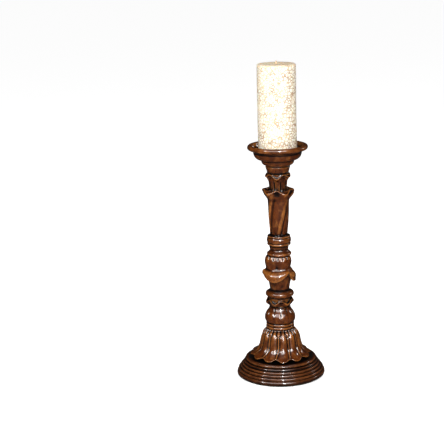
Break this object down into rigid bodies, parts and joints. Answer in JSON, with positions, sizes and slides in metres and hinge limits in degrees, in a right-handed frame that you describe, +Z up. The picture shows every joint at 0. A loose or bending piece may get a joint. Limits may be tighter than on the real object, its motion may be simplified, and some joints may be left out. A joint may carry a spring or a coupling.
{
  "type": "candlestick",
  "caption": "Carved and turned hardwood candlestick with a wide stepped base, leaf-carved stem and round drip pan, holding a lift-off pillar candle.",
  "frame": {"origin": "centre of the underside of the felt, on the stick's axis", "axes": "+Z up along the stick, -Y towards the front of the carving"},
  "size_m": [0.1766, 0.1766, 0.6313],
  "materials": {
    "glazed_wood": "glossy lacquer over a dark glaze that fills the carving",
    "dark_glazed_wood": "glossy lacquer over a darker glaze",
    "brass": "polished",
    "steel": "zinc plated",
    "felt": "matt felt",
    "crackled_wax": "ivory wax with a fine gold crackle",
    "wick_cotton": "waxed braided cotton"
  },
  "bodies": {
    "stick": {"felt_pad": "felt", "base_plinth": "dark_glazed_wood", "base_bell": "glazed_wood", "bead_collar": "glazed_wood", "bulb_knop": "glazed_wood", "lower_leaf_collar": "glazed_wood", "stem_ring": "glazed_wood", "leaf_sleeve": "glazed_wood", "cavetto_collar": "glazed_wood", "bead_ring": "glazed_wood", "twisted_stem": "glazed_wood", "fluted_neck": "glazed_wood", "pan_neck": "glazed_wood", "drip_pan": "glazed_wood", "tie_rod": "steel", "base_washer": "steel", "base_nut": "steel", "pricket_plate": "brass", "plate_screw_1": "brass", "plate_screw_2": "brass", "plate_screw_3": "brass", "pricket_spike": "brass"},
    "candle": {"candle_body": "crackled_wax", "candle_wick": "wick_cotton"}
  },
  "joints": [
    {"name": "candle_lift", "type": "slide", "parent": "stick", "child": "candle", "axis": [0, 0, 1], "range_m": [0, 0.06]}
  ]
}
